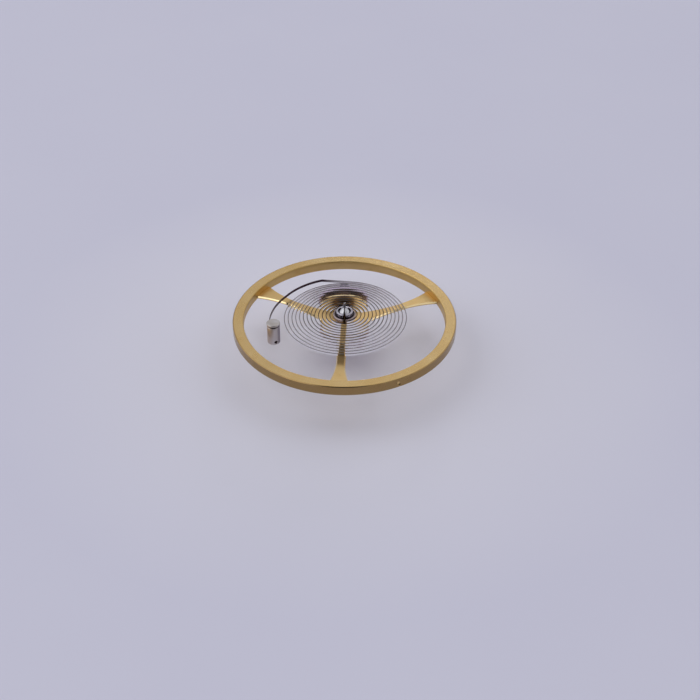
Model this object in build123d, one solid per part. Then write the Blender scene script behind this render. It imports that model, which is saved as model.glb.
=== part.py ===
from build123d import *
import math
import os

# A wrist-watch balance complete: the wheel on its staff, the roller with its impulse jewel
# below it, the collet and the hairspring above it, and the stud at the spring's outer end.
# Lengths are in millimetres and angles in degrees. The origin is the tip of the lower pivot,
# +Z runs up the staff to the upper pivot, and angles are counted from +X towards +Y.

# Balance wheel
wheel_diameter = 10.0
rim_width = 0.48
rim_height = 0.45
rim_chamfer = 0.03
arm_count = 3
first_arm_angle = 26.9
arm_rise = 0.04
arm_thickness = 0.13
arm_chamfer = 0.035
arm_waist_width = 0.40
arm_waist_radius = 2.80
arm_root_width = 1.02
arm_hub_width = 0.80
hub_diameter = 2.16
hub_corner_radius = 0.22
poise_angle = 297.6
poise_diameter = 0.24
poise_depth = 0.09

# Balance staff, from the lower pivot's tip upwards
pivot_diameter = 0.10
pivot_length = 0.20
pivot_end_radius = 0.02
trumpet_length = 0.10
trumpet_diameter = 0.24
lower_cone_height = 0.20
bare_post_height = 0.44
roller_post_diameter = 0.42
flange_diameter = 1.04
flange_height = 0.28
flange_chamfer = 0.04
wheel_seat_diameter = 0.72
rivet_height = 0.05
rivet_lip = 0.05
collet_seat_diameter = 0.48
upper_cone_height = 0.14

# Roller with its passing hollow, the impulse jewel and its shellac
table_thickness = 0.22
table_chamfer = 0.025
table_margin = 0.025
safety_diameter = 1.20
safety_height = 0.34
passing_radius = 0.20
passing_offset = 0.05
jewel_angle = 327.0
jewel_diameter = 0.34
jewel_flat_depth = 0.10
jewel_drop = 0.36
jewel_stand = 0.04
jewel_edge = 0.02
shellac_margin = 0.065
shellac_height = 0.07
shellac_top_share = 0.55
shellac_clearance = 0.105

# Collet: a ring on a wider foot, which carries the spring's inner end
collet_diameter = 0.74
collet_height = 0.34
collet_foot_diameter = 1.02
collet_foot_height = 0.17
collet_gap = 0.27
collet_stand = 0.03
collet_slit = 0.10
collet_relief_diameter = 0.58
collet_relief_height = 0.20
collet_relief_width = 0.42
collet_chamfer = 0.02

# Stud
stud_diameter = 0.57
stud_head_diameter = 0.60
stud_height = 1.03
stud_head_thickness = 0.08
stud_groove_width = 0.09
stud_groove_depth = 0.06
stud_chamfer = 0.03
stud_angle = 206.3
stud_rim_clearance = 0.763
stud_hole_rise = 0.15
stud_hole_clearance = 0.04
cement_inset = 0.06

# Hairspring: a flat blade wound on edge, which sinks a little towards its outer turns
blade_thickness = 0.035
blade_height = 0.11
blade_rise = 0.07
blade_sink = 0.15
blade_sink_run = 1.50
blade_tail = 0.03
spring_turns = 13
spring_start_angle = 280.0
spring_leave_angle = 82.0
knee_step = 0.44
knee_angle = 109.4
sweep_end_angle = 148.0
sweep_middle_angle = 180.6
sweep_middle_rise = 0.173
sweep_end_rise = 0.287

# Heights above the lower pivot's tip
pivot_root = pivot_length + trumpet_length
post_bottom = pivot_root + lower_cone_height
safety_bottom = post_bottom + bare_post_height
table_bottom = safety_bottom + safety_height
table_top = table_bottom + table_thickness
arm_bottom = table_top + flange_height
arm_top = arm_bottom + arm_thickness
wheel_bottom = arm_bottom - arm_rise
wheel_top = wheel_bottom + rim_height
rivet_top = arm_top + rivet_height
collet_bottom = rivet_top + collet_gap
collet_foot_top = collet_bottom + collet_foot_height
collet_top = collet_bottom + collet_height
collar_top = collet_top - collet_stand
staff_length = collar_top + upper_cone_height + pivot_root
inner_blade_level = collet_bottom + blade_rise
outer_blade_level = inner_blade_level - blade_sink
stud_bottom = outer_blade_level - stud_hole_rise

# Radii and distances from the staff's axis
wheel_radius = wheel_diameter / 2
rim_inner_radius = wheel_radius - rim_width
hub_radius = hub_diameter / 2
wheel_seat_radius = wheel_seat_diameter / 2
collet_radius = collet_diameter / 2
collet_foot_radius = collet_foot_diameter / 2
jewel_radius = jewel_diameter / 2
shellac_radius = jewel_radius + shellac_margin
jewel_orbit = flange_diameter / 2 + shellac_clearance + shellac_radius
table_radius = jewel_orbit + shellac_radius + table_margin
stud_orbit = rim_inner_radius - stud_rim_clearance - stud_head_diameter / 2
stud_hole_diameter = blade_height + stud_hole_clearance
knee_radius = stud_orbit - sweep_end_rise
coil_radius = knee_radius - knee_step
spring_start_radius = collet_foot_radius + blade_thickness / 2
spring_pitch = (coil_radius - spring_start_radius) / spring_turns
overrun = rim_height


def polar(radius, angle, height=0):
    """A point from its distance to the staff, its angle and its height."""
    turn = math.radians(angle)
    return Vector(radius * math.cos(turn), radius * math.sin(turn), height)


def upright(radius, bottom, top, x=0, y=0):
    """An upright cylinder between two heights."""
    cylinder = Cylinder(radius, top - bottom, align=(Align.CENTER, Align.CENTER, Align.MIN))
    return Pos(x, y, bottom) * cylinder


def edges_at(solid, height, least=0, most=math.inf):
    """The edges that lie flat at one height, with their middles between two radii."""
    near = blade_thickness / 10
    found = []
    for edge in solid.edges():
        box = edge.bounding_box()
        middle = edge.position_at(0.5)
        radius = math.hypot(middle.X, middle.Y)
        flat = abs(box.min.Z - height) < near and abs(box.max.Z - height) < near
        if flat and least < radius < most:
            found.append(edge)
    return ShapeList(found)


def arm_face():
    """One arm lying along +X: a waist between two flares, each side two tangent arcs."""
    waist = arm_waist_width / 2
    root = arm_root_width / 2
    foot = arm_hub_width / 2
    root_x = math.sqrt(rim_inner_radius**2 - root**2)
    foot_x = math.sqrt(hub_radius**2 - foot**2)
    rim_x = rim_inner_radius + rim_width / 2
    middle = (arm_waist_radius, waist)
    outward = TangentArc(middle, (root_x, root), tangent=(1, 0))
    inward = TangentArc(middle, (foot_x, foot), tangent=(-1, 0))
    side = Curve() + [outward, inward]
    ends = [
        Line((root_x, root), (rim_x, root)),
        Line((rim_x, root), (rim_x, -root)),
        Line((rim_x, -root), (root_x, -root)),
        Line((foot_x, foot), (foot_x, -foot)),
    ]
    return make_face(side + mirror(side, about=Plane.XZ) + ends)


def balance_wheel():
    """The rim, the arms and the hub, cut from one plate."""
    rim = upright(wheel_radius, wheel_bottom, wheel_top)
    rim -= upright(rim_inner_radius, wheel_bottom - overrun, wheel_top + overrun)
    rim_edges = edges_at(rim, wheel_top) + edges_at(rim, wheel_bottom)
    rim = chamfer(rim_edges, rim_chamfer)
    rim -= poise_mark()
    spider = Circle(hub_radius)
    for index in range(arm_count):
        spider += Rot(0, 0, first_arm_angle + index * 360 / arm_count) * arm_face()
    corners = []
    for corner in spider.vertices():
        radius = math.hypot(corner.X, corner.Y)
        if abs(radius - hub_radius) < hub_corner_radius / 10:
            corners.append(corner)
    spider = fillet(corners, hub_corner_radius)
    spider -= Circle(wheel_seat_radius)
    plate = Pos(0, 0, arm_bottom) * extrude(spider, arm_thickness)
    sides = edges_at(plate, arm_top, wheel_seat_radius + rivet_lip, rim_inner_radius - rim_chamfer)
    plate = chamfer(sides, arm_chamfer)
    return rim + plate


def poise_mark():
    """The cutter of the shallow drilled mark on the rim's outer wall, left by poising."""
    depth = poise_depth + overrun
    spread = poise_diameter / 2 * depth / poise_depth
    cutter = Cone(0, spread, depth, align=(Align.CENTER, Align.CENTER, Align.MIN))
    place = polar(wheel_radius - poise_depth, poise_angle, wheel_bottom + rim_height / 2)
    return Pos(place) * Rot(0, 0, poise_angle) * Rot(0, 90, 0) * cutter


def pivot_profile(tip, way):
    """Half of a pivot's outline, from its domed tip to the end of its trumpet."""
    pivot = pivot_diameter / 2
    neck = tip + way * pivot_length
    root = neck + way * trumpet_length
    corner = (pivot - pivot_end_radius, tip)
    start = (pivot, tip + way * pivot_end_radius)
    return [
        Line((0, tip), corner),
        RadiusArc(corner, start, -way * pivot_end_radius),
        Line(start, (pivot, neck)),
        TangentArc((pivot, neck), (trumpet_diameter / 2, root), tangent=(0, way)),
    ]


def balance_staff():
    """The turned staff: pivots, roller post, flange, wheel seat with its rivet, collet seat."""
    post = roller_post_diameter / 2
    flange = flange_diameter / 2
    collar = collet_seat_diameter / 2
    rivet = wheel_seat_radius + rivet_lip
    steps = [
        (trumpet_diameter / 2, pivot_root),
        (post, post_bottom),
        (post, table_top),
        (flange - flange_chamfer, table_top),
        (flange, table_top + flange_chamfer),
        (flange, arm_bottom),
        (wheel_seat_radius, arm_bottom),
        (wheel_seat_radius, arm_top),
        (rivet, arm_top),
        (rivet, arm_top + rivet_height / 2),
        (wheel_seat_radius, rivet_top),
        (collar, rivet_top),
        (collar, collar_top),
        (trumpet_diameter / 2, staff_length - pivot_root),
    ]
    outline = pivot_profile(0, 1) + [Polyline(*steps)] + pivot_profile(staff_length, -1)
    outline.append(Line((0, staff_length), (0, 0)))
    half = make_face(Curve() + outline)
    return revolve(Plane.XZ * half, Axis.Z)


def jewel_section():
    """The D section of the impulse jewel, its flat turned away from the staff."""
    flat_x = jewel_radius - jewel_flat_depth
    cut = Rectangle(jewel_diameter, jewel_diameter, align=(Align.MIN, Align.CENTER))
    section = Circle(jewel_radius) - Pos(flat_x, 0) * cut
    return Rot(0, 0, jewel_angle) * Pos(jewel_orbit, 0) * section


def roller():
    """The impulse table and the safety roller in one piece, with the passing hollow."""
    table = upright(table_radius, table_bottom, table_top)
    table_edges = edges_at(table, table_bottom) + edges_at(table, table_top)
    table = chamfer(table_edges, table_chamfer)
    body = table + upright(safety_diameter / 2, safety_bottom, table_bottom)
    hollow = polar(safety_diameter / 2 + passing_offset, jewel_angle)
    body -= upright(passing_radius, safety_bottom - overrun, table_bottom, hollow.X, hollow.Y)
    body -= upright(roller_post_diameter / 2, safety_bottom - overrun, table_top + overrun)
    hole = extrude(jewel_section(), table_thickness + 2 * overrun)
    return body - Pos(0, 0, table_bottom - overrun) * hole


def impulse_jewel():
    """The ruby pin that hangs below the impulse table."""
    bottom = table_bottom - jewel_drop
    top = table_top + jewel_stand
    jewel = Pos(0, 0, bottom) * extrude(jewel_section(), top - bottom)
    return chamfer(edges_at(jewel, bottom) + edges_at(jewel, top), jewel_edge)


def jewel_shellac(jewel):
    """The low bead of shellac round the jewel's upper end, on the impulse table."""
    bead = Cone(shellac_radius, shellac_radius * shellac_top_share, shellac_height,
                align=(Align.CENTER, Align.CENTER, Align.MIN))
    return Pos(polar(jewel_orbit, jewel_angle, table_top)) * bead - jewel


def collet():
    """The split ring on its wider foot, relieved left and right inside so that it can spring."""
    ring = upright(collet_foot_radius, collet_bottom, collet_foot_top)
    ring += upright(collet_radius, collet_foot_top, collet_top)
    shoulder = edges_at(ring, collet_foot_top, (collet_radius + collet_foot_radius) / 2)
    ring = chamfer(edges_at(ring, collet_top) + shoulder + edges_at(ring, collet_bottom), collet_chamfer)
    ring -= upright(collet_seat_diameter / 2, collet_bottom - overrun, collet_top + overrun)
    relief = Circle(collet_relief_diameter / 2) & Rectangle(collet_diameter, collet_relief_width)
    relief_bottom = collet_top - collet_relief_height
    ring -= Pos(0, 0, relief_bottom) * extrude(relief, collet_relief_height + overrun)
    slit = Box(collet_slit, collet_foot_radius + overrun, collet_height + 2 * overrun,
               align=(Align.CENTER, Align.MAX, Align.MIN))
    return ring - Pos(0, 0, collet_bottom - overrun) * slit


def turns():
    """The spring's half turns, each on an arc half a pitch wider than the last one."""
    arcs = []
    radius = spring_start_radius + spring_pitch / 4
    start = -spring_start_radius
    side = -1
    for _ in range(2 * spring_turns):
        centre = start - side * radius
        arcs.append(CenterArc((0, centre), radius, side * 90, 180))
        start = centre - side * radius
        side = -side
        radius += spring_pitch / 2
    first = arcs[0]
    arcs[0] = CenterArc(first.arc_center, first.radius, spring_start_angle, 450 - spring_start_angle)
    arcs.append(CenterArc((0, start + radius), radius, -90, spring_leave_angle + 90))
    return arcs


def blade_line():
    """The blade's middle line: the turns, a straight, a knee and the sweep to the stud."""
    arcs = turns()
    sweep_end = polar(knee_radius, sweep_end_angle)
    middle = polar(knee_radius + sweep_middle_rise, sweep_middle_angle)
    straight = Line(arcs[-1] @ 1, polar(knee_radius, knee_angle))
    sweep = CenterArc((0, 0), knee_radius, knee_angle, sweep_end_angle - knee_angle)
    approach = ThreePointArc(sweep_end, middle, polar(stud_orbit, stud_angle))
    reach = stud_diameter / 2 + blade_tail
    end = Line(approach @ 1, approach @ 1 + (approach % 1) * reach)
    return Wire(arcs + [straight, sweep, approach, end])


def sink_shell():
    """The shell that the blade lies in: level inside, sloping down to the outer turns."""
    half = blade_height / 2
    foot = knee_radius - knee_step / 2
    far = stud_orbit + stud_diameter
    line = [(0, inner_blade_level), (foot - blade_sink_run, inner_blade_level),
            (foot, outer_blade_level), (far, outer_blade_level)]
    upper = [(radius, level + half) for radius, level in line]
    lower = [(radius, level - half) for radius, level in reversed(line)]
    return revolve(Plane.XZ * make_face(Polyline(*upper, *lower, close=True)), Axis.Z)


def hairspring():
    """The one unbroken blade, from the collet to the stud, its two ends cut square."""
    line = blade_line()
    outline = make_face(offset(line, blade_thickness / 2, kind=Kind.INTERSECTION, closed=True))
    nib = Rectangle(blade_thickness, 2 * blade_thickness, align=(Align.MIN, Align.CENTER))
    outline -= Plane(origin=line @ 0, x_dir=-(line % 0), z_dir=(0, 0, 1)) * nib
    outline -= Plane(origin=line @ 1, x_dir=line % 1, z_dir=(0, 0, 1)) * nib
    return extrude(outline, inner_blade_level + blade_height) & sink_shell()


def stud_place():
    """The frame of the stud: on its axis at its foot, X along the blade that passes through."""
    along = blade_line() % 1
    foot = polar(stud_orbit, stud_angle, stud_bottom)
    return Plane(origin=foot, x_dir=along, z_dir=(0, 0, 1))


def stud_bore():
    """The cross hole of the stud that the blade's end lies in, as a cutter."""
    length = stud_head_diameter + 2 * overrun
    bore = Cylinder(stud_hole_diameter / 2, length, rotation=(0, 90, 0))
    return Pos(0, 0, outer_blade_level - stud_bottom) * bore


def stud():
    """The stud: a pillar with an undercut below its head and a cross hole near its foot."""
    wall = stud_diameter / 2
    neck = stud_height - stud_head_thickness
    body = chamfer(edges_at(upright(wall, 0, neck), 0), stud_chamfer)
    head = upright(stud_head_diameter / 2, neck, stud_height)
    head = chamfer(edges_at(head, stud_height), stud_chamfer)
    undercut = Polyline((wall - stud_groove_depth, neck), (wall, neck - stud_groove_width),
                        (wall + stud_groove_depth, neck), close=True)
    groove = revolve(Plane.XZ * make_face(undercut), Axis.Z)
    return stud_place() * (body - groove + head - stud_bore())


def stud_cement(blade):
    """The cement that fills the stud's cross hole round the blade."""
    length = stud_diameter - 2 * cement_inset
    plug = Cylinder(stud_hole_diameter / 2, length, rotation=(0, 90, 0))
    return stud_place() * Pos(0, 0, outer_blade_level - stud_bottom) * plug - blade


def least_gap():
    """The least gap of the wound blade to itself, measured on points of its middle line."""
    line = blade_line()
    points_per_turn = 90
    count = points_per_turn * spring_turns
    places = [line @ (index / count) for index in range(count + 1)]
    flat = [(place.X, place.Y) for place in places]
    skipped = int(math.pi * spring_start_radius / (line.length / count))
    least = math.inf
    for index, place in enumerate(flat):
        for other in flat[index + skipped:]:
            least = min(least, math.dist(place, other))
    return least - blade_thickness


def main():
    os.makedirs("parts", exist_ok=True)
    blade = hairspring()
    jewel = impulse_jewel()
    nodes = {
        "balance_wheel": balance_wheel(),
        "balance_staff": balance_staff(),
        "roller": roller(),
        "impulse_jewel": jewel,
        "jewel_shellac": jewel_shellac(jewel),
        "collet": collet(),
        "hairspring": blade,
        "stud": stud(),
        "stud_cement": stud_cement(blade),
    }
    for name, shape in nodes.items():
        export_step(shape, f"parts/{name}.step")
    print(f"hairspring: least gap to itself {least_gap():.3f} mm over {spring_turns} turns")


if __name__ == "__main__":
    main()
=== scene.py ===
# %% [markdown]
# # A watch's balance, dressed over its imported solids
# A balance is a wheel on a staff that swings to and fro against a flat spiral spring. The solids
# come packed in metres. This lesson builds finer meshes over them, gives each metal its finish, and
# lights the balance on a pale table. Every shape below is named and sized in millimetres, because
# the whole wheel is ten of them across.

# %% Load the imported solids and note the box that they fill
import math

import bmesh
import bpy
import numpy as np
from mathutils import Matrix, Vector


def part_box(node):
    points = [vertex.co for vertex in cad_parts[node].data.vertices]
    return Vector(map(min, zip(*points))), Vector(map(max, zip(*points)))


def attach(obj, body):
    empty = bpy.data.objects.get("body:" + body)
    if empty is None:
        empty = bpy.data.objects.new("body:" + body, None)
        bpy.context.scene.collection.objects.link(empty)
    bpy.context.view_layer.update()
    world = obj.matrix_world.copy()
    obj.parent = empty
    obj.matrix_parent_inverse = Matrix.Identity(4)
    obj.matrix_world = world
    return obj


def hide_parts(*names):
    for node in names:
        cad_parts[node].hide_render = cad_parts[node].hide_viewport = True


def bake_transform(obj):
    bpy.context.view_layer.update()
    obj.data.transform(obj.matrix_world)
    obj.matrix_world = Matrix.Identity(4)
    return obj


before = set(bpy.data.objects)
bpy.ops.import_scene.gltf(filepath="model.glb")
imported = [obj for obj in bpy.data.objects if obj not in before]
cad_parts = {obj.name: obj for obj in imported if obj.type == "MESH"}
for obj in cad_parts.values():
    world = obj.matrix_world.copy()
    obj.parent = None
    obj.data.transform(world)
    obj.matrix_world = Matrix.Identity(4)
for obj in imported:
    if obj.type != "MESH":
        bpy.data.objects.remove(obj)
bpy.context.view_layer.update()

# %% [markdown]
# ## Small helpers for modelling
# Blender's edit tools work by absolute tolerances that suit a chair and not a pivot a tenth of a
# millimetre thick. So each piece is modelled with one Blender unit standing for one millimetre, and
# shrunk to metres when it is finished. Operators act on all that is selected, so every piece starts
# with nothing selected.

# %% Start and finish a piece
MM = 0.001


def start():
    """Leaves edit mode and deselects everything, so that the next primitive is alone."""
    if bpy.context.object and bpy.context.object.mode != "OBJECT":
        bpy.ops.object.mode_set(mode="OBJECT")
    bpy.ops.object.select_all(action="DESELECT")


def only(piece):
    """Makes one piece the selected and active one."""
    start()
    piece.select_set(True)
    bpy.context.view_layer.objects.active = piece


def named(name):
    """Names the piece that was just added, and lays its place into its mesh."""
    piece = bpy.context.object
    piece.name = piece.data.name = name
    bpy.ops.object.transform_apply(location=True, rotation=True, scale=True)
    return piece


def settle(piece, place):
    """Moves a piece to its place, which then goes into its mesh."""
    piece.location = place
    only(piece)
    bpy.ops.object.transform_apply(location=True, rotation=True, scale=True)


def finished(piece, material, body, node, corner):
    """Shrinks a piece to metres, shades it, and lets it ride a body in the place of its node."""
    only(piece)
    piece.scale = (MM, MM, MM)
    bpy.ops.object.transform_apply(location=True, rotation=True, scale=True)
    bpy.ops.object.shade_smooth_by_angle(angle=math.radians(corner))
    piece.data.materials.clear()
    piece.data.materials.append(material)
    if body:
        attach(piece, body)
    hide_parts(node)
    low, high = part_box(node)
    print(f"{piece.name}: {len(piece.data.polygons)} faces, node box z {low[2] / MM:.2f}"
          f" to {high[2] / MM:.2f} mm")


print("one unit stands for", MM, "metres")

# %% Select, close and slice a mesh in edit mode
merge_distance = 0.0001


def select_edges(piece, test):
    """Selects the edges that pass a test, and nothing else."""
    mesh = bmesh.from_edit_mesh(piece.data)
    for group in (mesh.faces, mesh.edges, mesh.verts):
        for element in group:
            element.select_set(False)
    for edge in [edge for edge in mesh.edges if test(edge)]:
        edge.select_set(True)
    bmesh.update_edit_mesh(piece.data)


def close_up(distance):
    """Merges points that lie together, turns every face outwards, and leaves edit mode."""
    bpy.ops.mesh.select_all(action="SELECT")
    bpy.ops.mesh.remove_doubles(threshold=distance)
    bpy.ops.mesh.normals_make_consistent(inside=False)
    bpy.ops.object.mode_set(mode="OBJECT")


def slice_off(place, normal):
    """Cuts a closed piece by a plane, and keeps what lies behind it."""
    bpy.ops.mesh.select_all(action="SELECT")
    bpy.ops.mesh.bisect(plane_co=place, plane_no=normal, use_fill=True, clear_outer=True)


print("points closer than", merge_distance, "mm are merged")

# %% Turn a piece as a lathe does, cut it, and soften its edges
def turned(name, section, steps, ring=False):
    """Spins half a section, given as (radius, height) points, round the upright axis."""
    start()
    bpy.ops.mesh.primitive_circle_add(vertices=len(section), radius=1, rotation=(math.pi / 2, 0, 0))
    piece = named(name)
    for vertex, (radius, height) in zip(piece.data.vertices, section):
        vertex.co = (radius, 0, height)
    bpy.ops.object.mode_set(mode="EDIT")
    if not ring:
        ends = {0, len(section) - 1}
        select_edges(piece, lambda edge: {vertex.index for vertex in edge.verts} == ends)
        bpy.ops.mesh.delete(type="EDGE")
    bpy.ops.mesh.select_all(action="SELECT")
    bpy.ops.mesh.spin(steps=steps, angle=2 * math.pi, center=(0, 0, 0), axis=(0, 0, 1))
    close_up(merge_distance)
    print(f"{name}: {len(section)} points spun in {steps} steps")
    return piece


def apply_modifier(piece, kind, **settings):
    """Adds one modifier with its settings and applies it."""
    only(piece)
    modifier = piece.modifiers.new(kind.lower(), kind)
    for key, value in settings.items():
        setattr(modifier, key, value)
    bpy.ops.object.modifier_apply(modifier=modifier.name)


def cut(piece, cutter, operation="DIFFERENCE"):
    """Cuts a piece with another one, which is used up."""
    apply_modifier(piece, "BOOLEAN", operation=operation, object=cutter, solver="EXACT")
    bpy.data.objects.remove(cutter)


def soften(piece, width, least):
    """Rounds the edges that turn by more than an angle in degrees."""
    apply_modifier(piece, "BEVEL", width=width, segments=2, limit_method="ANGLE",
                   angle_limit=math.radians(least))


def polar(radius, angle, height=0.0):
    """A point at a distance from the staff, at an angle in degrees, at a height."""
    turn = math.radians(angle)
    return Vector((radius * math.cos(turn), radius * math.sin(turn), height))


# %% [markdown]
# ## Shader maths written as plain sums
# A finish is a graph of nodes, and long graphs are hard to read as links. The class below wraps a
# number socket, so that `2 * mask + 1` adds the Math nodes itself. Colours go through Mix nodes,
# because a Math node would turn them grey.


# %% A number in a shader
class Number:
    """A socket that carries a number, with the sums that the finishes use."""

    def __init__(self, finish, socket):
        self.finish, self.socket = finish, socket

    def _math(self, operation, first, second=0.0):
        return self.finish.number("ShaderNodeMath", {"operation": operation}, {0: first, 1: second})

    def __add__(self, other):
        return self._math("ADD", self, other)

    def __radd__(self, other):
        return self._math("ADD", other, self)

    def __sub__(self, other):
        return self._math("SUBTRACT", self, other)

    def __rsub__(self, other):
        return self._math("SUBTRACT", other, self)

    def __mul__(self, other):
        return self._math("MULTIPLY", self, other)

    def __rmul__(self, other):
        return self._math("MULTIPLY", other, self)

    def __pow__(self, other):
        return self._math("POWER", self, other)

    def __rpow__(self, other):
        return self._math("POWER", other, self)


# %% A graph that adds nodes by one method
class Graph:
    """A tree of shader nodes, with the few ways that this lesson adds to it."""

    def __init__(self, tree):
        self.nodes, self.links = tree.nodes, tree.links

    def node(self, kind, settings=None, inputs=None):
        """Adds a node, sets its settings, and gives its sockets their values or links."""
        node = self.nodes.new(kind)
        for key, value in (settings or {}).items():
            setattr(node, key, value)
        for key, value in (inputs or {}).items():
            if isinstance(value, Number):
                value = value.socket
            if isinstance(value, bpy.types.NodeSocket):
                self.links.new(value, node.inputs[key])
            else:
                node.inputs[key].default_value = value
        return node

    def number(self, kind, settings=None, inputs=None, output=0):
        """Adds a node and wraps the number that it gives."""
        return Number(self, self.node(kind, settings, inputs).outputs[output])

    def ramp(self, value, low, high, first=0.0, last=1.0):
        """One number below a value, another above a second, and a straight change between."""
        inputs = {"Value": value, "From Min": low, "From Max": high, "To Min": first, "To Max": last}
        return self.number("ShaderNodeMapRange", {"clamp": True}, inputs)

    def mix(self, share, first, second):
        """A colour between two, each a colour socket or three numbers."""
        colours = [c if isinstance(c, bpy.types.NodeSocket) else (*c, 1) for c in (first, second)]
        inputs = {0: share, 6: colours[0], 7: colours[1]}
        return self.node("ShaderNodeMix", {"data_type": "RGBA"}, inputs).outputs[2]


# %% A finish that holds a material's nodes
class Finish(Graph):
    """A material whose Principled shader is fed by the nodes that this class adds."""

    def __init__(self, name, colour, **constants):
        self.material = bpy.data.materials.new(name)
        self.material.use_nodes = True
        self.material.diffuse_color = (*colour, 1)
        super().__init__(self.material.node_tree)
        self.shader = self.nodes["Principled BSDF"]
        self.shader.inputs["Base Color"].default_value = (*colour, 1)
        for key, value in constants.items():
            self.shader.inputs[key.replace("_", " ")].default_value = value
        self.where = self.node("ShaderNodeTexCoord").outputs["Object"]
        print("finish:", name)

    def place(self):
        """The three coordinates of a point on the piece, in metres from the staff's foot."""
        split = self.node("ShaderNodeSeparateXYZ", inputs={0: self.where})
        return [Number(self, output) for output in split.outputs]

    def turned_place(self):
        """How far a point is from the staff, and how high, both in metres."""
        x, y, z = self.place()
        return (x * x + y * y) ** 0.5, z

    def band(self, value, low, high, blur=0.01):
        """One between two places given in millimetres, and nothing outside them."""
        rise = self.ramp(value, low * MM, (low + blur) * MM)
        fall = self.ramp(value, high * MM, (high + blur) * MM, 1.0, 0.0)
        return rise * fall

    def attribute(self, name):
        """A number that the mesh itself carries at each point."""
        return self.number("ShaderNodeAttribute", {"attribute_name": name}, output="Fac")

    def vector(self, x, y, z):
        """A vector put together from three numbers."""
        return self.node("ShaderNodeCombineXYZ", inputs={0: x, 1: y, 2: z}).outputs[0]

    def noise(self, grain, detail=2.0, vector=None):
        """Noise from 0 to 1 whose blotches are about one grain across, in millimetres."""
        source = self.where if vector is None else vector
        inputs = {"Vector": source, "Scale": 1 / (grain * MM), "Detail": detail}
        return self.number("ShaderNodeTexNoise", inputs=inputs)

    def feed(self, **inputs):
        """Links numbers or colours to the shader's own sockets."""
        for key, value in inputs.items():
            socket = value.socket if isinstance(value, Number) else value
            self.links.new(socket, self.shader.inputs[key.replace("_", " ")])

    def bump(self, height, depth):
        """Raises the surface by a height from 0 to 1, one being so many millimetres."""
        inputs = {"Height": height, "Distance": depth * MM, "Strength": 1.0}
        self.feed(Normal=self.node("ShaderNodeBump", inputs=inputs).outputs[0])


# %% [markdown]
# ## The gilt wheel's finish
# The wheel has the look of gilt brass. Its rim is turned, so fine rings are cut round the staff
# there and draw the light out into a soft bright zone. Its arms are stamped flat, so the rings only
# tint them, and their surface carries a fine grain. Both could be painted as pictures, but the
# pattern follows the tool, so it is worked out from the distance to the staff and the height. The
# tone is built from noise at three sizes: broad clouds, smaller stains and tool rings.

# %% The rim's sizes, which the finish follows too
wheel_radius = 5.0
rim_width = 0.48
rim_bottom = 1.74
rim_top = 2.19
rim_inner = wheel_radius - rim_width
print(f"rim: from {rim_inner:.2f} to {wheel_radius:.2f} mm from the staff")


# %% Rings left by turning
ring_drift_grain = 2.5
ring_drift_pitches = 0.9
print("the rings drift by up to", ring_drift_pitches, "of their pitch")


def tool_rings(finish, pitch):
    """Noise that runs in rings round the staff, about one pitch apart, in millimetres."""
    radius, height = finish.turned_place()
    drift = finish.noise(ring_drift_grain, 1.0) * (ring_drift_pitches * pitch * MM)
    vector = finish.vector(radius + drift, 0.0, height + drift)
    return finish.noise(pitch, 3.0, vector)


# %% Gilt brass for the wheel
def gilt_brass():
    """Clouded and stained gilding, with rings that are cut into the rim and only tint the arms, and
    painted shade on the rim's outer edge and inner wall.
    """
    gilt = Finish("gilt_brass", (0.72, 0.51, 0.22), Metallic=1.0, Roughness=0.3)
    radius, height = gilt.turned_place()
    clouds = gilt.ramp(gilt.noise(1.3, 3.0), 0.3, 0.7)
    rings = tool_rings(gilt, 0.035)
    grain = gilt.noise(0.02, 3.0)
    stains = gilt.ramp(gilt.noise(0.45, 4.0), 0.58, 0.8)
    # Painted shade: a dark line is toned along the rim's outer edge.
    outer_edge_shade = gilt.ramp(radius, (wheel_radius - 0.055) * MM, (wheel_radius - 0.025) * MM)
    # Painted shade: the rim's inner wall is toned darker, most of all just under its top edge.
    inner_wall = gilt.band(radius, rim_inner - 0.02, rim_inner + 0.025)
    lip_shade = gilt.ramp(height, (rim_top - 0.17) * MM, (rim_top - 0.04) * MM, 0.35, 0.75)
    stamped = gilt.ramp(radius, (rim_inner - 0.07) * MM, (rim_inner - 0.02) * MM, 1.0, 0.0)
    tone = gilt.mix(clouds, (0.70, 0.48, 0.20), (0.77, 0.57, 0.28))
    tone = gilt.mix(rings * 0.4, tone, (0.52, 0.33, 0.12))
    tone = gilt.mix(stains * 0.4, tone, (0.44, 0.26, 0.08))
    tone = gilt.mix(outer_edge_shade * 0.75, tone, (0.24, 0.15, 0.06))
    tone = gilt.mix(inner_wall * lip_shade, tone, (0.42, 0.27, 0.08))
    polish = 0.17 + 0.08 * rings + 0.06 * grain + 0.08 * stains
    gilt.feed(Base_Color=tone, Roughness=polish + 0.06 * stamped + 0.14 * inner_wall)
    gilt.bump((0.8 - 0.8 * stamped) * rings + 0.2 * grain, 0.003)
    return gilt.material


gilt_material = gilt_brass()

# %% [markdown]
# The bevels along the arms are burnished, so they are smoother than the flats, and their tone is
# painted paler, a painted highlight that brightens their lines. A second material on those faces is
# simpler than a mask, because the faces are picked out by the way they point.


# %% Gilt bevels, burnished bright
def gilt_bevels():
    """Gilding painted pale as a highlight, with the faint marks of the burnisher."""
    bevels = Finish("gilt_bevels", (0.90, 0.72, 0.40), Metallic=1.0, Roughness=0.08)
    marks = tool_rings(bevels, 0.02)
    tone = bevels.mix(marks * 0.5, (0.92, 0.76, 0.45), (0.74, 0.54, 0.26))
    bevels.feed(Base_Color=tone, Roughness=0.06 + 0.08 * marks)
    bevels.bump(marks, 0.001)
    return bevels.material


bevel_material = gilt_bevels()
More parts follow.
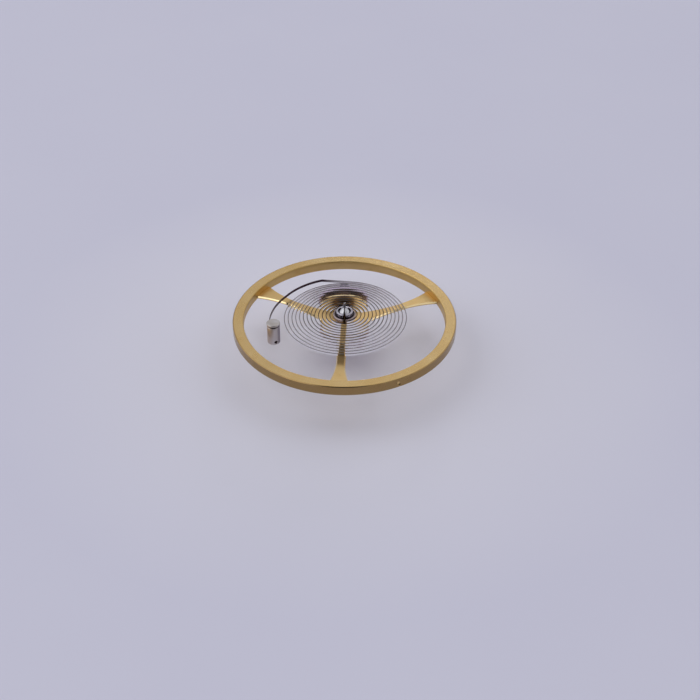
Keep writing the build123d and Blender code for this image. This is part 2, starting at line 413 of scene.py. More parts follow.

# %% [markdown]
# ## Polished steel
# The staff and the roller are turned from steel and polished, and the collet is turned from a
# metal that polishes much like it. One function gives them all faint tool rings and paler and
# darker patches. A piece may also have bands of another tone, each between two heights and within
# a reach of the staff: painted shade in deep corners, a painted dark reflection on the upper pivot,
# and a darker, pinker tone on the collet's foot.


# %% Polished steel for the staff, the roller and the collet
def polished(name, light, dark, rough, bands=()):
    """Metal with faint tool rings, paler and darker patches, and bands of another tone, most of them
    painted shade and painted reflection.
    """
    steel = Finish(name, light, Metallic=1.0, Roughness=rough)
    rings = tool_rings(steel, 0.02)
    patches = steel.ramp(steel.noise(0.25, 3.0), 0.35, 0.7)
    tone = steel.mix(patches * 0.6 + rings * 0.25, light, dark)
    radius, height = steel.turned_place()
    for bottom, top, reach, colour in bands:
        within = steel.ramp(radius, reach * MM, (reach + 0.01) * MM, 1.0, 0.0)
        tone = steel.mix(steel.band(height, bottom, top) * within, tone, colour)
    steel.feed(Base_Color=tone, Roughness=rough + 0.08 * rings + 0.05 * patches)
    steel.bump(rings, 0.0002)
    return steel.material


# Painted shade: the staff's seat under the collet is toned almost black.
seat_shade_band = (1.97, 2.53, 0.30, (0.05, 0.045, 0.05))
# Painted dark reflection: the upper pivot is toned darker than the rest of the staff.
pivot_reflection_band = (2.78, 3.00, 0.10, (0.26, 0.26, 0.28))
staff_bands = (seat_shade_band, pivot_reflection_band)
staff_material = polished("staff_steel", (0.55, 0.55, 0.58), (0.40, 0.40, 0.44), 0.07, staff_bands)
roller_material = polished("roller_steel", (0.84, 0.75, 0.84), (0.66, 0.55, 0.66), 0.20)
foot_band = (2.20, 2.41, 0.60, (0.36, 0.29, 0.29))
# Painted shade: the pockets' floors and the corner between the ring and its foot are toned almost
# black.
pocket_shade_band = (2.30, 2.44, 0.30, (0.04, 0.035, 0.04))
shoulder_shade_band = (2.385, 2.42, 0.445, (0.03, 0.025, 0.03))
collet_bands = (foot_band, pocket_shade_band, shoulder_shade_band)
collet_material = polished("collet_metal", (0.50, 0.48, 0.54), (0.36, 0.34, 0.40), 0.14, collet_bands)

# %% [markdown]
# ## The spring's alloy
# The spring is rolled and drawn, so its streaks run along it and not round the staff. Object
# coordinates can't tell along from across on a spiral, so the mesh will carry three numbers of its
# own: how far along the ribbon a point lies, how far it is from the stud, and how high it is on the
# blade. The flat walls are as bright as mirrors. The upper edge is duller, and painted shade makes it
# darker, most of all over the hub. The outer curve carries a painted dark reflection in dark brown.


# %% Spring alloy, with a painted dark reflection on its outer curve
def spring_alloy():
    """Bright rolled alloy, with painted shade on its duller upper edge and a painted dark reflection
    on its outer curve.
    """
    spring = Finish("spring_alloy", (0.84, 0.83, 0.86), Metallic=1.0, Roughness=0.04)
    across = spring.attribute("across")
    along = spring.attribute("along")
    to_stud = spring.attribute("to_stud")
    radius, _ = spring.turned_place()
    # Painted shade: the upper edge is toned dark, and darker still over the hub, where the ribbon lies
    # in shadow.
    inner = spring.ramp(radius, 1.75 * MM, 2.05 * MM, 1.0, 0.0)
    edge = spring.ramp(across, 0.74, 0.92)
    # Painted dark reflection: the outer curve towards the stud is toned dark brown.
    darkened_curve = spring.ramp(to_stud, 5.9, 7.3, 1.0, 0.0) ** 1.3
    streaks = spring.noise(0.03, 2.0, spring.vector(along * 0.02 * MM, across * 0.1 * MM, 0.0))
    hue = spring.ramp(spring.noise(0.6, 2.0), 0.35, 0.65)
    tone = spring.mix(hue * 0.5, (0.97, 0.96, 0.97), (0.90, 0.88, 0.91))
    edge_shade_tone = spring.mix(inner, (0.20, 0.18, 0.20), (0.04, 0.03, 0.035))
    tone = spring.mix(edge, tone, edge_shade_tone)
    tone = spring.mix(darkened_curve, tone, (0.06, 0.035, 0.045))
    spring.feed(Base_Color=tone, Roughness=0.03 + 0.03 * streaks + 0.2 * edge + 0.15 * darkened_curve)
    spring.bump(streaks, 0.0002)
    return spring.material


spring_material = spring_alloy()

# %% [markdown]
# ## The stud's metal
# The stud is turned and left satin, with a faint brownish bloom. Its left flank is toned browner,
# and its right flank carries a painted purple shade, as it faces away from the light. Its groove
# lies in deep shadow, so it is painted almost black. The masks come from the height, and from how
# far a point is to the left or right of the stud's own axis.

# %% The stud's sizes, which its finish follows too
stud_orbit = 3.457
stud_angle = 206.3
stud_axis = -3.10
stud_bottom = 2.00
stud_top = 3.03
groove_bottom = 2.86
groove_top = 2.95
print(f"stud: {stud_top - stud_bottom:.2f} mm tall, {stud_orbit:.2f} mm from the staff")


# %% Satin metal of the stud, with a brownish bloom and painted shade
def stud_satin():
    """Satin metal, browner on the left flank, with painted shade in its groove and on its right flank.
    """
    satin = Finish("stud_satin", (0.62, 0.58, 0.54), Metallic=1.0, Roughness=0.34)
    bloom = satin.ramp(satin.noise(0.35, 3.0), 0.42, 0.7)
    grain = satin.noise(0.018, 3.0)
    lines = tool_rings(satin, 0.03)
    x, _, height = satin.place()
    # Painted shade: the groove under the head is toned almost black.
    into_groove = satin.ramp(height, (groove_bottom + 0.006) * MM, (groove_bottom + 0.03) * MM)
    past_groove = satin.ramp(height, groove_top * MM, (groove_top + 0.005) * MM)
    groove_shade = into_groove * (1 - past_groove)
    flank = satin.ramp(height, (stud_top - 0.05) * MM, (stud_top - 0.02) * MM, 1.0, 0.0)
    brown = satin.ramp(x, (stud_axis - 0.24) * MM, (stud_axis - 0.02) * MM, 1.0, 0.0)
    # Painted shade: the right flank, away from the light, is toned dark purple.
    right_flank_shade = satin.ramp(x, (stud_axis + 0.16) * MM, (stud_axis + 0.23) * MM)
    tone = satin.mix(bloom * 0.7, (0.49, 0.47, 0.48), (0.37, 0.33, 0.30))
    tone = satin.mix(flank * 0.8, tone, (0.60, 0.56, 0.56))
    tone = satin.mix(flank * brown * 0.6, tone, (0.58, 0.46, 0.37))
    tone = satin.mix(flank * right_flank_shade * 0.6, tone, (0.20, 0.16, 0.22))
    tone = satin.mix(groove_shade * 0.93, tone, (0.03, 0.02, 0.02))
    satin.feed(Base_Color=tone, Roughness=0.26 + 0.16 * grain + 0.08 * bloom)
    satin.bump(0.6 * grain + 0.4 * lines, 0.003)
    return satin.material


stud_material = stud_satin()

# %% [markdown]
# ## Ruby, shellac and cement
# These three aren't metal. The jewel is synthetic ruby, half see-through, with the high refractive
# index that makes it glitter. Shellac is melted round the jewel and sets like amber, and the
# spring's end is held in a dark cement that dries lumpy. Each of the three needs a single noise for
# its colour and its gloss.


# %% Ruby, shellac and cement
def ruby():
    """Synthetic ruby, a little veiled."""
    jewel = Finish("ruby", (0.55, 0.02, 0.09), Roughness=0.05, IOR=1.76, Transmission_Weight=0.55)
    veil = jewel.noise(0.12, 3.0)
    tone = jewel.mix(veil, (0.62, 0.02, 0.10), (0.36, 0.01, 0.05))
    jewel.feed(Base_Color=tone, Roughness=0.04 + 0.06 * veil)
    return jewel.material


def shellac():
    """Amber shellac that ran and set."""
    amber = Finish("shellac", (0.32, 0.11, 0.03), Roughness=0.12, IOR=1.52)
    swirl = amber.noise(0.08, 3.0)
    tone = amber.mix(swirl, (0.40, 0.15, 0.04), (0.20, 0.06, 0.02))
    amber.feed(Base_Color=tone, Roughness=0.08 + 0.12 * swirl)
    amber.bump(swirl, 0.004)
    return amber.material


def cement():
    """Dark cement, set hard and lumpy."""
    paste = Finish("cement", (0.09, 0.06, 0.05), Roughness=0.3)
    lumps = paste.noise(0.05, 4.0)
    tone = paste.mix(lumps, (0.12, 0.08, 0.06), (0.04, 0.03, 0.03))
    paste.feed(Base_Color=tone, Roughness=0.2 + 0.3 * lumps)
    paste.bump(lumps, 0.008)
    return paste.material


ruby_material = ruby()
shellac_material = shellac()
cement_material = cement()

# %% [markdown]
# ## The wheel
# The real wheel is one plate: a rim turned to a square section, and three flared arms that are
# stamped and then bevelled. The rim is a small square with its corners cut, spun round the staff.
# The arms and the hub are one flat outline, so they are drawn as a flat curve with handles, which
# bends exactly as the flanks do, and Blender fills it and bevels its edges.

# %% Rim: a square section spun round the staff
rim_edge = 0.03


def square_section(inner, outer, bottom, top, corner):
    """A square ring's section with its four corners cut."""
    return [
        (inner + corner, bottom), (outer - corner, bottom), (outer, bottom + corner),
        (outer, top - corner), (outer - corner, top), (inner + corner, top),
        (inner, top - corner), (inner, bottom + corner),
    ]


rim_section = square_section(rim_inner, wheel_radius, rim_bottom, rim_top, rim_edge)
wheel = turned("wheel", rim_section, steps=320, ring=True)

# %% One side of an arm that lies along X: points, each with the way the line runs there
arm_bottom = 1.78
arm_thickness = 0.13
arm_edge = 0.05
arm_count = 3
first_arm = 26.9
hub_radius = 1.08
seat_radius = 0.36
corner_angle = 27.1
corner = polar(hub_radius, corner_angle)
hub_to_corner = (corner.x, corner.y, 90 - corner_angle)
corner_to_flank = (1.1117, 0.3772, 11.9)
waist = (2.80, 0.20, 0.0)
flare_at_rim = (4.491, 0.51, -20.8)
end_inside_rim = (4.75, 0.60, -18.0)
arm_side = [hub_to_corner, corner_to_flank, waist, flare_at_rim, end_inside_rim]
print("arm's side:", len(arm_side), "points, waist", 2 * waist[1], "mm wide")

# %% The whole outline, bent by its handles
sharpest_bend = 2


def outline_points():
    """Every point of the arms' and hub's outline, with its angle of travel in degrees."""
    points = []
    for index in range(arm_count):
        turn = first_arm + index * 360 / arm_count
        out = [(x, -y, way) for x, y, way in arm_side]
        back = [(x, y, 180 - way) for x, y, way in reversed(arm_side)]
        for x, y, way in out + back:
            place = Matrix.Rotation(math.radians(turn), 3, "Z") @ Vector((x, y, 0))
            points.append((place, turn + way))
    return points


def bend_handles(spline, points):
    """Gives a closed spline its points, with the handles that make an arc between each two.

    Where the line would turn by more than the sharpest bend, in radians, it runs straight instead,
    as it does across an arm's end inside the rim.
    """
    spline.bezier_points.add(len(points) - 1)
    for index, (place, way) in enumerate(points):
        dot = spline.bezier_points[index]
        dot.co = place
        dot.handle_left_type = dot.handle_right_type = "FREE"
        for step, handle in ((-1, "handle_left"), (1, "handle_right")):
            other, other_way = points[(index + step) % len(points)]
            turning = math.radians((other_way - way + 180) % 360 - 180)
            length = (other - place).length / (3 * math.cos(turning / 4) ** 2)
            if abs(turning) > sharpest_bend:
                length = 0.0
            setattr(dot, handle, place + polar(length * step, way))
    spline.use_cyclic_u = True


print("outline:", len(outline_points()), "points")

# %% Arms and hub: a filled flat curve, made a mesh and joined to the rim
plate_merge = 0.0005
start()
bpy.ops.curve.primitive_bezier_circle_add(radius=seat_radius)
plate = bpy.context.object
plate.data.dimensions = "2D"
plate.data.fill_mode = "BOTH"
plate.data.resolution_u = 20
plate.data.extrude = arm_thickness / 2 - arm_edge
plate.data.bevel_depth = arm_edge
plate.data.bevel_resolution = 0
plate.data.offset = -arm_edge
bend_handles(plate.data.splines.new("BEZIER"), outline_points())
plate.location = (0, 0, arm_bottom + arm_thickness / 2)
only(plate)
bpy.ops.object.convert(target="MESH")
plate = named("arms")
bpy.ops.object.mode_set(mode="EDIT")
close_up(plate_merge)
print("arms:", len(plate.data.polygons), "faces")
cut(wheel, plate, "UNION")

# %% [markdown]
# A balance is poised by drilling a shallow mark where it is heavy. The mark is a flat cone that is
# sunk into the rim's outer wall, so a cone is pointed at the staff and cut out of the wheel.

# %% The poising mark, drilled into the rim's outer wall
mark_angle = 297.6
mark_depth = 0.09
mark_width = 0.24
drill_length = 0.3
drill_radius = mark_width / 2 * drill_length / mark_depth
start()
bpy.ops.mesh.primitive_cone_add(vertices=48, radius1=drill_radius, radius2=0, depth=drill_length)
drill = named("drill")
drill_reach = wheel_radius - mark_depth + drill_length / 2
middle = polar(drill_reach, mark_angle, (rim_bottom + rim_top) / 2)
inwards = (-polar(1, mark_angle)).to_track_quat("Z", "Y").to_matrix().to_4x4()
drill.matrix_world = Matrix.Translation(middle) @ inwards
cut(wheel, drill)
finished(wheel, gilt_material, "balance", "balance_wheel", corner=24)

# %% The bevels' faces, found by the way they point
bevel_least, bevel_most = 0.3, 0.95
wheel.data.materials.append(bevel_material)
for face in wheel.data.polygons:
    on_arm = Vector(face.center[:2]).length < rim_inner * MM
    if on_arm and bevel_least < face.normal.z < bevel_most:
        face.material_index = 1
print("bevel faces:", sum(face.material_index for face in wheel.data.polygons))

# %% [markdown]
# ## The staff
# A staff is turned from one rod. Its outline, from the lower pivot to the upper one, is spun round
# its axis, as a lathe would do it. Each pivot ends in a small dome and widens to its root in the
# curve of a trumpet, which is worked out here from a few shares of the root's height.

# %% The staff's sizes, from the lower pivot's tip upwards
pivot = 0.05
pivot_length = 0.20
pivot_dome = 0.02
trumpet = 0.12
trumpet_shares = (0.3, 0.55, 0.75, 0.9, 1.0)
flare_share = 0.82
root = 0.30
post = 0.21
post_bottom = 0.50
table_top = 1.50
flange = 0.52
flange_chamfer = 0.04
arm_top = arm_bottom + arm_thickness
rivet_lip = 0.05
rivet_edge = 0.02
rivet_fall = 0.012
rivet_inset = 0.01
rivet_top = 1.96
collet_seat = 0.24
collar_chamfer = 0.015
collar_top = 2.54
staff_top = 2.98


def pivot_curve(tip, way):
    """A pivot's outline from its domed tip to its trumpet-shaped root."""
    curve = [
        (0, tip), (pivot * 0.6, tip), (pivot * 0.88, tip + way * pivot_dome * 0.3),
        (pivot, tip + way * pivot_dome), (pivot, tip + way * pivot_length),
    ]
    for share in trumpet_shares:
        flare = (1 - math.sqrt(1 - share**2 * flare_share)) / (1 - math.sqrt(1 - flare_share))
        height = pivot_length + (root - pivot_length) * share
        curve.append((pivot + (trumpet - pivot) * flare, tip + way * height))
    return curve


# %% The staff, turned
staff_section = pivot_curve(0, 1)
staff_section += [
    (post, post_bottom), (post, table_top),
    (flange - flange_chamfer, table_top), (flange, table_top + flange_chamfer),
    (flange, arm_bottom), (seat_radius, arm_bottom), (seat_radius, arm_top),
    (seat_radius + rivet_lip, arm_top), (seat_radius + rivet_lip, arm_top + rivet_edge),
    (seat_radius + rivet_edge, rivet_top - rivet_fall), (seat_radius - rivet_inset, rivet_top),
    (collet_seat, rivet_top), (collet_seat, collar_top - collar_chamfer),
    (collet_seat - collar_chamfer, collar_top),
]
staff_section += reversed(pivot_curve(staff_top, -1))
staff = turned("staff", staff_section, steps=96)
finished(staff, staff_material, "balance", "balance_staff", corner=28)

# %% [markdown]
# ## The roller and the impulse jewel
# The double roller is the table that carries the jewel, and a smaller safety roller below it with
# a hollow that lets the guard pin pass. It is turned as a ring and then cut, because the hollow
# and the jewel's hole are the only shapes on it that aren't round the staff.

# %% Roller: table and safety roller in one, with the passing hollow
table_radius = 1.12
table_bottom = 1.28
table_edge = 0.025
safety_radius = 0.60
safety_bottom = 0.94
safety_edge = 0.01
passing_radius = 0.20
passing_offset = 0.05
passing_depth = 0.6
jewel_angle = 327.0
jewel_orbit = 0.86
roller_section = [
    (post, safety_bottom), (safety_radius - safety_edge, safety_bottom),
    (safety_radius, safety_bottom + safety_edge), (safety_radius, table_bottom),
    (table_radius - table_edge, table_bottom), (table_radius, table_bottom + table_edge),
    (table_radius, table_top - table_edge), (table_radius - table_edge, table_top),
    (post, table_top),
]
roller = turned("roller_turned", roller_section, steps=192, ring=True)
hollow = polar(safety_radius + passing_offset, jewel_angle, table_bottom - passing_depth / 2)
start()
bpy.ops.mesh.primitive_cylinder_add(
    vertices=64, radius=passing_radius, depth=passing_depth, location=hollow)
cut(roller, named("hollow"))

# %% [markdown]
# The impulse jewel is a round pin of ruby with one flat, and it drives the pallet fork at every
# swing. Its outline could be drawn and raised, but a cylinder that is cut by a plane takes fewer
# steps. The hole in the roller has the same outline, so one function makes the pin and the cutter.

# %% Impulse jewel: a round pin with one flat, and its own hole in the roller
jewel_radius = 0.17
jewel_flat = 0.10
jewel_bottom = 0.92
jewel_top = 1.54
jewel_edge = 0.012
jewel_clearance = 0.0005
socket_bottom = 1.0
socket_top = 2.0


def d_pin(name, radius, bottom, top):
    """A pin whose side away from the staff is cut flat."""
    start()
    place = polar(jewel_orbit, jewel_angle, (bottom + top) / 2)
    bpy.ops.mesh.primitive_cylinder_add(vertices=72, radius=radius, depth=top - bottom, location=place)
    pin = named(name)
    bpy.ops.object.mode_set(mode="EDIT")
    flat = polar(jewel_orbit + jewel_radius - jewel_flat, jewel_angle)
    slice_off(flat, polar(1, jewel_angle))
    bpy.ops.object.mode_set(mode="OBJECT")
    return pin


cut(roller, d_pin("socket", jewel_radius, socket_bottom, socket_top))
finished(roller, roller_material, "balance", "roller", corner=28)
jewel = d_pin("jewel", jewel_radius - jewel_clearance, jewel_bottom, jewel_top)
soften(jewel, jewel_edge, 50)
finished(jewel, ruby_material, "balance", "impulse_jewel", corner=28)

# %% [markdown]
# Melted shellac holds the jewel in its hole, and a little of it stands on the roller as a bead
# round the jewel's end. A bead is a low dome, so it could be a flattened sphere. A quarter of a
# circle, pressed down to the bead's height and spun, gives the same dome with a clean flat foot.

# %% Shellac: a low bead that the jewel's end stands in
bead_radius = 0.235
bead_height = 0.07
bead_bottom = table_top - 0.004
bead_step = 9
bead_arc = [polar(1, angle) for angle in range(0, 90, bead_step)]
bead_section = [(0, bead_bottom), (bead_radius, bead_bottom)]
bead_section += [(bead_radius * dot.x, table_top + bead_height * dot.y) for dot in bead_arc]
bead_section += [(0, table_top + bead_height)]
bead = turned("shellac_bead", bead_section, steps=64)
settle(bead, polar(jewel_orbit, jewel_angle))
finished(bead, shellac_material, "balance", "jewel_shellac", corner=50)

# %% [markdown]
# ## The collet
# The collet is a split ring that grips the staff, and its wider foot holds the spring's inner end.
# Two pockets are milled in its top, left and right, so that it can spring, and a slit opens it at
# the front. The ring is turned, and the pockets and the slit are cut out, as they are in the real
# one. Its finest edges are rounded last, by a bevel modifier that looks only at sharp turns.

# %% Collet: a ring on a wider foot
collet_radius = 0.37
collet_foot = 0.51
collet_bottom = 2.23
collet_step = 2.40
collet_top = 2.57
collet_chamfer = 0.02
collet_section = [
    (collet_seat, collet_bottom), (collet_foot - collet_chamfer, collet_bottom),
    (collet_foot, collet_bottom + collet_chamfer), (collet_foot, collet_step - collet_chamfer),
    (collet_foot - collet_chamfer, collet_step), (collet_radius, collet_step),
    (collet_radius, collet_top - collet_chamfer), (collet_radius - collet_chamfer, collet_top),
    (collet_seat, collet_top),
]
collet = turned("collet_ring", collet_section, steps=160, ring=True)

# %% Its two pockets, its slit, and its softened edges
pocket_radius = 0.29
pocket_width = 0.42
pocket_floor = collet_top - 0.20
slit_width = 0.10
reach = 1.0
collet_edge = 0.006
start()
bpy.ops.mesh.primitive_cylinder_add(
    vertices=96, radius=pocket_radius, depth=reach, location=(0, 0, pocket_floor + reach / 2))
pocket = named("pocket")
bpy.ops.object.mode_set(mode="EDIT")
for way in (-1, 1):
    slice_off((0, way * pocket_width / 2, 0), (0, way, 0))
bpy.ops.object.mode_set(mode="OBJECT")
cut(collet, pocket)
start()
bpy.ops.mesh.primitive_cube_add(
    size=1, location=(0, -reach / 2, collet_bottom), scale=(slit_width, reach, 2 * reach))
cut(collet, named("slit"))
soften(collet, collet_edge, 40)
finished(collet, collet_material, "balance", "collet", corner=15)

# %% [markdown]
# ## The hairspring
# The spring is one flat ribbon, wound on edge into thirteen turns. The ribbon is made straight, as
# the real one is before it is wound: a long box, its edges softened, divided along its length. The
# line that it will follow is a list of stretches, arcs and straights. The coil's are half turns
# whose radius grows by half a pitch each, which comes close to an even spiral.

# %% The sizes of the ribbon and its coil
ribbon = 0.035
ribbon_height = 0.11
ribbon_edge = 0.005
turns = 13
knee_radius = 3.17
knee_step = 0.44
knee_angle = 109.4
coil_start = 280
coil_end = 82
sweep_end_angle = 148.0
sweep_middle_angle = 180.6
sweep_middle_rise = 0.173
tail = 0.315
coil_inner = collet_foot + ribbon / 2
coil_outer = knee_radius - knee_step
pitch = (coil_outer - coil_inner) / turns
stud_place = polar(stud_orbit, stud_angle)
print(f"coil: from {coil_inner:.3f} to {coil_outer:.2f} mm, {pitch:.3f} mm from turn to turn")


# %% The kinds of stretch that the ribbon follows
def arc(centre, radius, begin, sweep):
    """A stretch on an arc: its length, and what gives its point and direction at a distance."""
    def at(distance):
        angle = math.radians(begin) + distance / radius
        out = Vector((math.cos(angle), math.sin(angle), 0))
        return centre + out * radius, Vector((-out.y, out.x, 0))
    return math.radians(sweep) * radius, at


def straight(begin, end):
    """A stretch on a straight line."""
    along = (end - begin).normalized()
    return (end - begin).length, lambda distance: (begin + along * distance, along)


def arc_through(first, middle, last):
    """The arc that runs counter-clockwise through three points."""
    a, b, c = (Vector((p.x, p.y)) for p in (first, middle, last))
    d = 2 * (a.x * (b.y - c.y) + b.x * (c.y - a.y) + c.x * (a.y - b.y))
    squares = [p.length_squared for p in (a, b, c)]
    x = (squares[0] * (b.y - c.y) + squares[1] * (c.y - a.y) + squares[2] * (a.y - b.y)) / d
    y = (squares[0] * (c.x - b.x) + squares[1] * (a.x - c.x) + squares[2] * (b.x - a.x)) / d
    centre = Vector((x, y, 0))
    begin = math.degrees(math.atan2(a.y - y, a.x - x))
    end = math.degrees(math.atan2(c.y - y, c.x - x))
    return arc(centre, (first - centre).length, begin, (end - begin) % 360)


half_turn_length, _ = arc(Vector(), knee_radius, 0, 180)
print(f"half a turn at the knee is {half_turn_length:.2f} mm long")


# %% The line that the ribbon follows, from the collet to the stud
def spring_route():
    """The coil's half turns, the knee, and the sweep to the stud."""
    radius = coil_inner + pitch / 4
    begin = -coil_inner
    side = -1
    route = []
    for _ in range(2 * turns):
        centre = begin - side * radius
        route.append(arc(Vector((0, centre, 0)), radius, side * 90, 180))
        begin = centre - side * radius
        side = -side
        radius += pitch / 2
    first_radius = coil_inner + pitch / 4
    first_centre = Vector((0, pitch / 4, 0))
    route[0] = arc(first_centre, first_radius, coil_start, 450 - coil_start)
    route.append(arc(Vector((0, begin + radius, 0)), radius, -90, coil_end + 90))
    leave, _ = route[-1][1](route[-1][0])
    route.append(straight(leave, polar(knee_radius, knee_angle)))
    route.append(arc(Vector((0, 0, 0)), knee_radius, knee_angle, sweep_end_angle - knee_angle))
    sweep_end = polar(knee_radius, sweep_end_angle)
    sweep_middle = polar(knee_radius + sweep_middle_rise, sweep_middle_angle)
    route.append(arc_through(sweep_end, sweep_middle, stud_place))
    end, along = route[-1][1](route[-1][0])
    route.append(straight(end, end + along * tail))
    return route


route = spring_route()
ribbon_length = sum(length for length, _ in route)
_, stud_along = route[-1][1](0)
print(f"ribbon: {ribbon_length:.1f} mm on {len(route)} stretches")

# %% The ribbon, made straight and divided along its length
ribbon_cuts = (11, 11, 15)
shortest_length = 0.01


def lengthwise(edge):
    """Whether an edge of the straight ribbon runs along it."""
    return abs(edge.verts[0].co.x - edge.verts[1].co.x) > shortest_length


start()
bpy.ops.mesh.primitive_cube_add(
    size=1, location=(ribbon_length / 2, 0, 0), scale=(ribbon_length, ribbon, ribbon_height))
hairspring = named("hairspring_ribbon")
bpy.ops.object.mode_set(mode="EDIT")
select_edges(hairspring, lengthwise)
bpy.ops.mesh.bevel(offset=ribbon_edge, segments=2, affect="EDGES")
for cuts in ribbon_cuts:
    select_edges(hairspring, lengthwise)
    bpy.ops.mesh.subdivide(number_cuts=cuts)
bpy.ops.object.mode_set(mode="OBJECT")
print("ribbon:", len(hairspring.data.polygons), "faces")

# %% What the ribbon's points carry for its finish, and what they follow
measures = {
    "along": lambda place: place.x,
    "to_stud": lambda place: ribbon_length - place.x,
    "across": lambda place: place.z / (ribbon_height / 2),
}
for name, measure in measures.items():
    values = [measure(vertex.co) for vertex in hairspring.data.vertices]
    hairspring.data.attributes.new(name, "FLOAT", "POINT").data.foreach_set("value", values)
    print(f"{name}: {min(values):.2f} to {max(values):.2f}")
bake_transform(hairspring)

# %% [markdown]
# Each point of the ribbon knows how far along it lies, so it can be looked up on the line and put
# there, as far from the middle of the blade as it was. A curve modifier would bend the ribbon too,
# but the line is made of exact arcs, and the outer turns also sink a little towards the stud's hole.

# %% The ribbon, wound
inner_level = 2.30
sink = 0.15
sink_run = 1.50
sink_end = knee_radius - knee_step / 2
sink_begin = sink_end - sink_run


def level(point):
    """How high the ribbon's middle stands at a point of the coil: level inside, sunk outside."""
    share = (point.length - sink_begin) / sink_run
    return inner_level - sink * min(max(share, 0.0), 1.0)


def wind(piece):
    """Carries each point of the straight ribbon to its place on the coil."""
    starts = np.cumsum([0.0] + [length for length, _ in route])
    for vertex in piece.data.vertices:
        x, y, z = vertex.co
        stretch = min(max(int(np.searchsorted(starts, x, side="right")) - 1, 0), len(route) - 1)
        point, along = route[stretch][1](x - starts[stretch])
        left = Vector((-along.y, along.x, 0))
        vertex.co = point + left * y + Vector((0, 0, level(point) + z))


wind(hairspring)
finished(hairspring, spring_material, None, "hairspring", corner=15)

# %% [markdown]
# ## The stud
# The stud is a small pillar that the spring's outer end is cemented into, through a cross hole
# near its foot. A groove below its head gives the watch's stud screw a hold. It could be turned
# where it stands, but the lathe above works round the origin, so the stud is turned there, drilled
# along the ribbon's end, and then moved to its place.

# %% Stud: turned, and drilled across near its foot
stud_radius = 0.285
stud_chamfer = 0.03
groove_radius = 0.226
groove_rise = 0.002
head_radius = 0.30
head_inset = 0.008
head_rise = 0.007
hole_height = 2.15
hole_radius = 0.075
drill_depth = 2
stud_section = [
    (0, stud_bottom), (stud_radius - stud_chamfer, stud_bottom),
    (stud_radius, stud_bottom + stud_chamfer), (stud_radius, groove_bottom),
    (groove_radius, groove_top - groove_rise), (head_radius - head_inset, groove_top),
    (head_radius, groove_top + head_rise), (head_radius, stud_top - stud_chamfer),
    (head_radius - stud_chamfer, stud_top), (0, stud_top),
]
stud = turned("stud_pillar", stud_section, steps=128)


def lay_across(piece):
    """Lays an upright piece along the ribbon's end, at the height of the stud's hole."""
    turn = stud_along.to_track_quat("Z", "Y").to_matrix().to_4x4()
    piece.matrix_world = Matrix.Translation((0, 0, hole_height)) @ turn
    only(piece)
    bpy.ops.object.transform_apply(location=True, rotation=True, scale=True)
    return piece


start()
bpy.ops.mesh.primitive_cylinder_add(vertices=48, radius=hole_radius, depth=drill_depth)
cut(stud, lay_across(named("cross_drill")))
settle(stud, stud_place)
finished(stud, stud_material, "stud", "stud", corner=28)

# %% [markdown]
# The cement fills the cross hole round the ribbon and sinks a little as it sets, so both its ends
# are dished. A plain cylinder would show flat ends, so the plug is turned too, from a section that
# dips towards its middle, and laid in the hole.

# %% Cement in the cross hole, sunk a little at both ends
plug_end = 0.225
plug_dish = 0.02
plug_radius = hole_radius - 0.001
plug_half = [(0, plug_end - plug_dish), (0.05, plug_end - 0.008), (plug_radius, plug_end + plug_dish)]
plug_section = [(radius, -height) for radius, height in plug_half] + plug_half[::-1]
plug = lay_across(turned("cement_plug", plug_section, steps=48))
settle(plug, stud_place)
finished(plug, cement_material, "stud", "stud_cement", corner=50)

# %% [markdown]
# ## The table
# The balance stands on its lower pivot on a pale table, which takes its soft shadow. One flat tone
# would look like paper, so the tone has a faint mottle. It is also painted a little paler near the
# balance, a painted pool of light that softens the shadow there.

# %% Table
table_size = 3.0
light_pool_near, light_pool_far = 3, 16
start()
bpy.ops.mesh.primitive_plane_add(size=table_size, location=(0, 0, 0))
table = named("table")
pale = Finish("table_top", (0.65, 0.645, 0.775), Roughness=0.9, Specular_IOR_Level=0.05)
mottle = pale.noise(9.0, 2.0)
from_staff, _ = pale.turned_place()
# Painted light: the table is toned paler near the balance, to soften its shadow.
middle = pale.ramp(from_staff, light_pool_near * MM, light_pool_far * MM, 1.0, 0.0)
tone = pale.mix(mottle, (0.650, 0.646, 0.785), (0.675, 0.671, 0.800))
pale.feed(Base_Color=pale.mix(middle * 0.8, tone, (0.785, 0.775, 0.855)))
table.data.materials.append(pale.material)

# %% [markdown]
# ## The light
# Polished metal shows what stands round it more than it shows its own colour, so the room matters
# as much as the lamps. The room here is a sky that is brighter overhead and at the sides, and dark
# where the viewer stands, so that the steel has something dark to mirror. A picture of a room would
# do it too, but a few ramps on the direction are easier to tune. The camera itself sees a plain
# backdrop of the table's tone.

# %% Room light
room_level = 0.59
overhead_level = 0.48
side_level = 0.22
viewer_shade = 0.93
viewer_way = (0, -0.80, 0.60)
backdrop_colour = (0.62, 0.616, 0.75, 1)
world = bpy.data.worlds.new("room")
bpy.context.scene.world = world
world.use_nodes = True
room = Graph(world.node_tree)
room.nodes.clear()
direction = room.node("ShaderNodeTexCoord").outputs["Generated"]
parts = room.node("ShaderNodeSeparateXYZ", inputs={0: direction})
across_room, height = Number(room, parts.outputs[0]), Number(room, parts.outputs[2])
viewer = room.number("ShaderNodeVectorMath", {"operation": "DOT_PRODUCT"},
                     {0: direction, 1: viewer_way}, output="Value")
overhead = room.ramp(height, 0.66, 0.85, 0.0, overhead_level)
sides = room.ramp(across_room * across_room, 0.12, 0.60, 0.0, side_level)
dark_side = room.ramp(viewer, 0.52, 0.78)
light = (room_level + overhead + sides) * (1 - viewer_shade * dark_side)
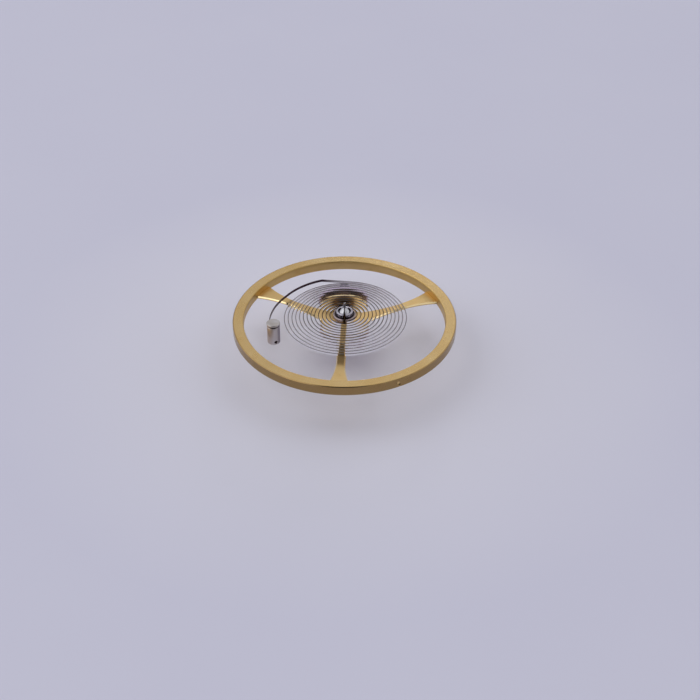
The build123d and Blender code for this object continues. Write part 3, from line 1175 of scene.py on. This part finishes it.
glow = room.node("ShaderNodeBackground", inputs={0: (1.0, 1.0, 1.03, 1), 1: light})
backdrop = room.node("ShaderNodeBackground", inputs={0: backdrop_colour})
seen = room.node("ShaderNodeLightPath").outputs["Is Camera Ray"]
both = room.node("ShaderNodeMixShader", inputs={0: seen, 1: glow.outputs[0], 2: backdrop.outputs[0]})
room.node("ShaderNodeOutputWorld", inputs={0: both.outputs[0]})
print("room light:", len(room.nodes), "nodes")

# %% [markdown]
# A small lamp low behind the balance, a little to the right, puts the bright zone on the rim. A
# wide one at the left models the spring and the stud, and two smaller ones high in front, left and
# right, draw the bright lines along the arms' bevels. All four are square area lamps, because a
# point of light would leave only pinpricks on polished metal.

# %% Lamps: each with its place and size in metres, and its power in watts
lamps = {
    "back_window": ((0.050, 0.284, 0.085), 0.085, 0.085),
    "side_window": ((-0.24, -0.03, 0.146), 0.36, 0.18),
    "left_strip": ((-0.135, -0.115, 0.217), 0.12, 0.040),
    "right_strip": ((0.118, -0.132, 0.217), 0.11, 0.026),
}
lit_point = Vector((0, 0, 0.002))
for name, (place, size, watts) in lamps.items():
    start()
    bpy.ops.object.light_add(type="AREA", location=place)
    lamp = bpy.context.object
    lamp.name = name
    lamp.data.size = size
    lamp.data.energy = watts
    lamp.rotation_euler = (lit_point - Vector(place)).to_track_quat("-Z", "Y").to_euler()
print("lamps:", len(lamps))

# %% [markdown]
# ## The camera
# The camera stands where the photograph was taken from: in front of the balance and above it, with
# a long lens, looking down at the staff's foot. Its place is given in millimetres as well, and the
# scene's view transform is the plain one, so that a colour renders about as it is written.

# %% Camera at the photograph's place
camera_place = Vector((0.246, -50.82, 38.91))
camera_down = 37.18
start()
bpy.ops.object.camera_add(location=camera_place * MM, rotation=(math.radians(90 - camera_down), 0, 0))
camera = bpy.context.object
camera.name = "photo_camera"
camera.data.lens = 72
camera.data.sensor_width = 36
camera.data.clip_start = 0.001
camera.data.clip_end = 10
bpy.context.scene.camera = camera
bpy.context.scene.view_settings.view_transform = "Standard"
print(f"camera: {camera_place.length:.1f} mm from the staff's foot")
